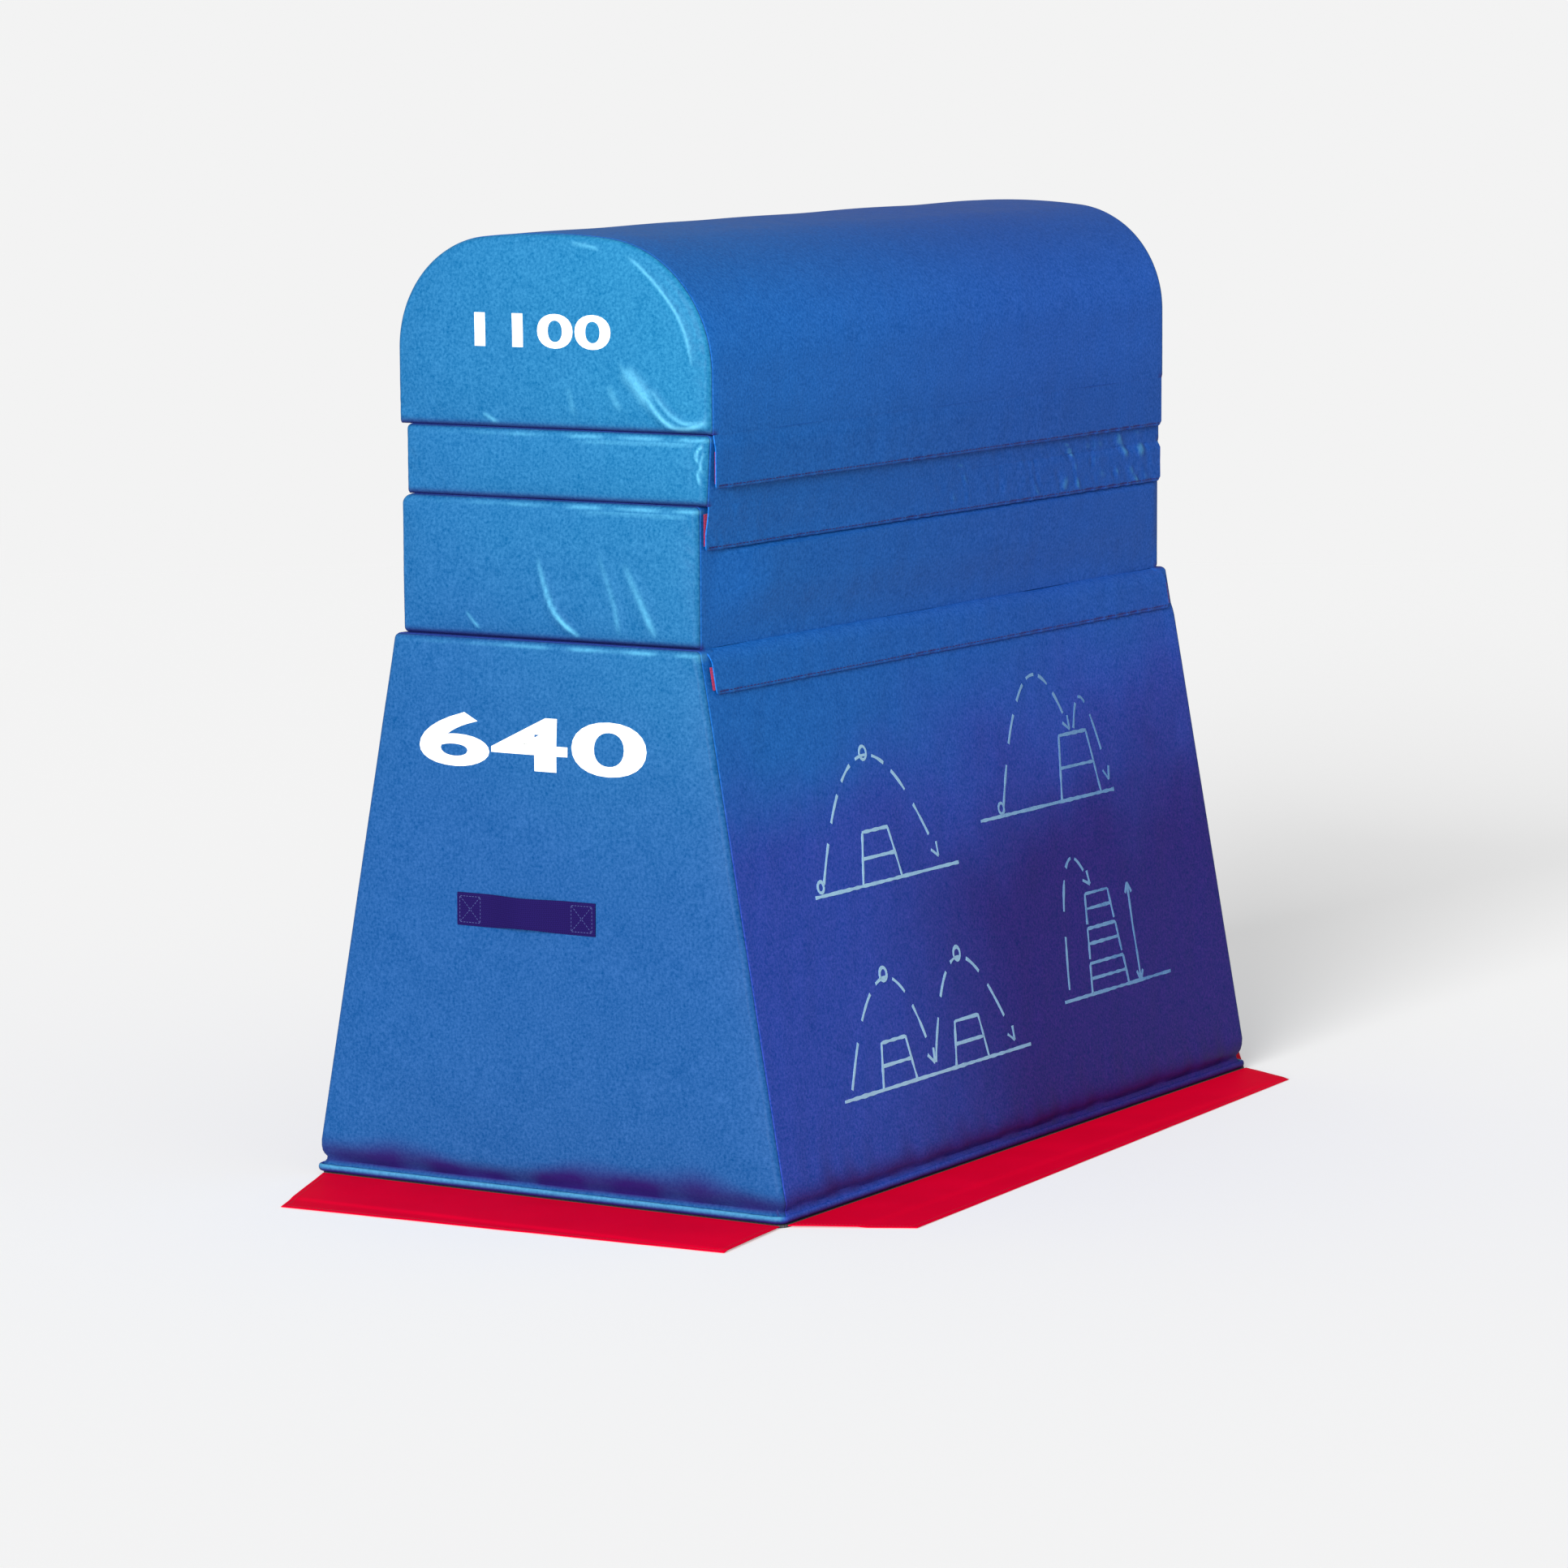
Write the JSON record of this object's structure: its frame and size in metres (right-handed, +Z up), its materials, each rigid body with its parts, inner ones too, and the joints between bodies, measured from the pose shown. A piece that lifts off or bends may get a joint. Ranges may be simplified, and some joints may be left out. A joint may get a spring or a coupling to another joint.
{
  "type": "foam vaulting trainer",
  "caption": "Stacked foam gymnastics trainer with a rounded cap, risers and a tapered base in vinyl covers, joined by hook-and-loop flaps, with webbing handles and floor flaps.",
  "frame": {"origin": "on the floor under the centre of the base", "axes": "+X along the blocks towards the rear end, +Y across them towards the left long side, +Z up"},
  "size_m": [1.5034, 0.8916, 1.1],
  "materials": {
    "vinyl": "satin",
    "flap_vinyl": "satin",
    "piping": "satin",
    "floor_flap": "matte",
    "hook_tape": "matte",
    "webbing": "matte",
    "grip_panel": "matte",
    "foam": "matte",
    "zip_tape": "matte",
    "slider_metal": "satin"
  },
  "bodies": {
    "base": {"base_foam": "foam", "base_cover": "vinyl", "base_bottom_panel": "grip_panel", "base_piping": "piping", "base_zip_tape": "zip_tape", "base_loop_right": "hook_tape", "base_loop_left": "hook_tape", "handle_front": "webbing", "handle_rear": "webbing"},
    "base_zip": {"base_zip_slider": "slider_metal"},
    "front_floor_flap": {"floor_flap_front": "floor_flap", "floor_flap_hook_front": "hook_tape"},
    "rear_floor_flap": {"floor_flap_rear": "floor_flap", "floor_flap_hook_rear": "hook_tape"},
    "right_floor_flap": {"floor_flap_right": "floor_flap", "floor_flap_hook_right": "hook_tape"},
    "left_floor_flap": {"floor_flap_left": "floor_flap", "floor_flap_hook_left": "hook_tape"},
    "lower_riser": {"lower_riser_foam": "foam", "lower_riser_cover": "vinyl", "lower_riser_zip_tape": "zip_tape", "lower_riser_loop_right": "hook_tape", "lower_riser_loop_left": "hook_tape"},
    "lower_riser_zip": {"lower_riser_zip_slider": "slider_metal"},
    "right_lower_riser_flap": {"lower_riser_flap_right": "flap_vinyl", "lower_riser_flap_hook_right": "hook_tape"},
    "left_lower_riser_flap": {"lower_riser_flap_left": "flap_vinyl", "lower_riser_flap_hook_left": "hook_tape"},
    "upper_riser": {"upper_riser_foam": "foam", "upper_riser_cover": "vinyl", "upper_riser_zip_tape": "zip_tape", "upper_riser_loop_right": "hook_tape", "upper_riser_loop_left": "hook_tape"},
    "upper_riser_zip": {"upper_riser_zip_slider": "slider_metal"},
    "right_upper_riser_flap": {"upper_riser_flap_right": "flap_vinyl", "upper_riser_flap_hook_right": "hook_tape"},
    "left_upper_riser_flap": {"upper_riser_flap_left": "flap_vinyl", "upper_riser_flap_hook_left": "hook_tape"},
    "cap": {"cap_foam": "foam", "cap_cover": "vinyl", "cap_zip_tape": "zip_tape"},
    "cap_zip": {"cap_zip_slider": "slider_metal"},
    "right_cap_flap": {"cap_flap_right": "flap_vinyl", "cap_flap_hook_right": "hook_tape"},
    "left_cap_flap": {"cap_flap_left": "flap_vinyl", "cap_flap_hook_left": "hook_tape"}
  },
  "joints": [
    {"name": "base_zip_slide", "type": "slide", "parent": "base", "child": "base_zip", "axis": [-1, 0, 0], "range_m": [0, 0.835]},
    {"name": "front_floor_flap_fold", "type": "hinge", "parent": "base", "child": "front_floor_flap", "pos_m": [-0.57271, 0, 0.003], "axis": [0, 1, 0], "range_deg": [0, 88]},
    {"name": "rear_floor_flap_fold", "type": "hinge", "parent": "base", "child": "rear_floor_flap", "pos_m": [0.57271, 0, 0.003], "axis": [0, -1, 0], "range_deg": [0, 88]},
    {"name": "right_floor_flap_fold", "type": "hinge", "parent": "base", "child": "right_floor_flap", "pos_m": [0, -0.3171, 0.003], "axis": [-1, 0, 0], "range_deg": [0, 92]},
    {"name": "left_floor_flap_fold", "type": "hinge", "parent": "base", "child": "left_floor_flap", "pos_m": [0, 0.3171, 0.003], "axis": [1, 0, 0], "range_deg": [0, 92]},
    {"name": "lower_riser_lift", "type": "slide", "parent": "base", "child": "lower_riser", "axis": [0, 0, 1], "range_m": [0, 0.12]},
    {"name": "lower_riser_zip_slide", "type": "slide", "parent": "lower_riser", "child": "lower_riser_zip", "axis": [-1, 0, 0], "range_m": [0, 0.835]},
    {"name": "right_lower_riser_flap_lift", "type": "hinge", "parent": "lower_riser", "child": "right_lower_riser_flap", "pos_m": [0, -0.1992, 0.64], "axis": [-1, 0, 0], "range_deg": [0, 110]},
    {"name": "left_lower_riser_flap_lift", "type": "hinge", "parent": "lower_riser", "child": "left_lower_riser_flap", "pos_m": [0, 0.1992, 0.64], "axis": [1, 0, 0], "range_deg": [0, 110]},
    {"name": "upper_riser_lift", "type": "slide", "parent": "lower_riser", "child": "upper_riser", "axis": [0, 0, 1], "range_m": [0, 0.12]},
    {"name": "upper_riser_zip_slide", "type": "slide", "parent": "upper_riser", "child": "upper_riser_zip", "axis": [-1, 0, 0], "range_m": [0, 0.835]},
    {"name": "right_upper_riser_flap_lift", "type": "hinge", "parent": "upper_riser", "child": "right_upper_riser_flap", "pos_m": [0, -0.2046, 0.8], "axis": [-1, 0, 0], "range_deg": [0, 140]},
    {"name": "left_upper_riser_flap_lift", "type": "hinge", "parent": "upper_riser", "child": "left_upper_riser_flap", "pos_m": [0, 0.2046, 0.8], "axis": [1, 0, 0], "range_deg": [0, 140]},
    {"name": "cap_lift", "type": "slide", "parent": "upper_riser", "child": "cap", "axis": [0, 0, 1], "range_m": [0, 0.12]},
    {"name": "cap_zip_slide", "type": "slide", "parent": "cap", "child": "cap_zip", "axis": [-1, 0, 0], "range_m": [0, 0.835]},
    {"name": "right_cap_flap_lift", "type": "hinge", "parent": "cap", "child": "right_cap_flap", "pos_m": [0, -0.21, 0.88], "axis": [-1, 0, 0], "range_deg": [0, 160]},
    {"name": "left_cap_flap_lift", "type": "hinge", "parent": "cap", "child": "left_cap_flap", "pos_m": [0, 0.21, 0.88], "axis": [1, 0, 0], "range_deg": [0, 160]}
  ]
}
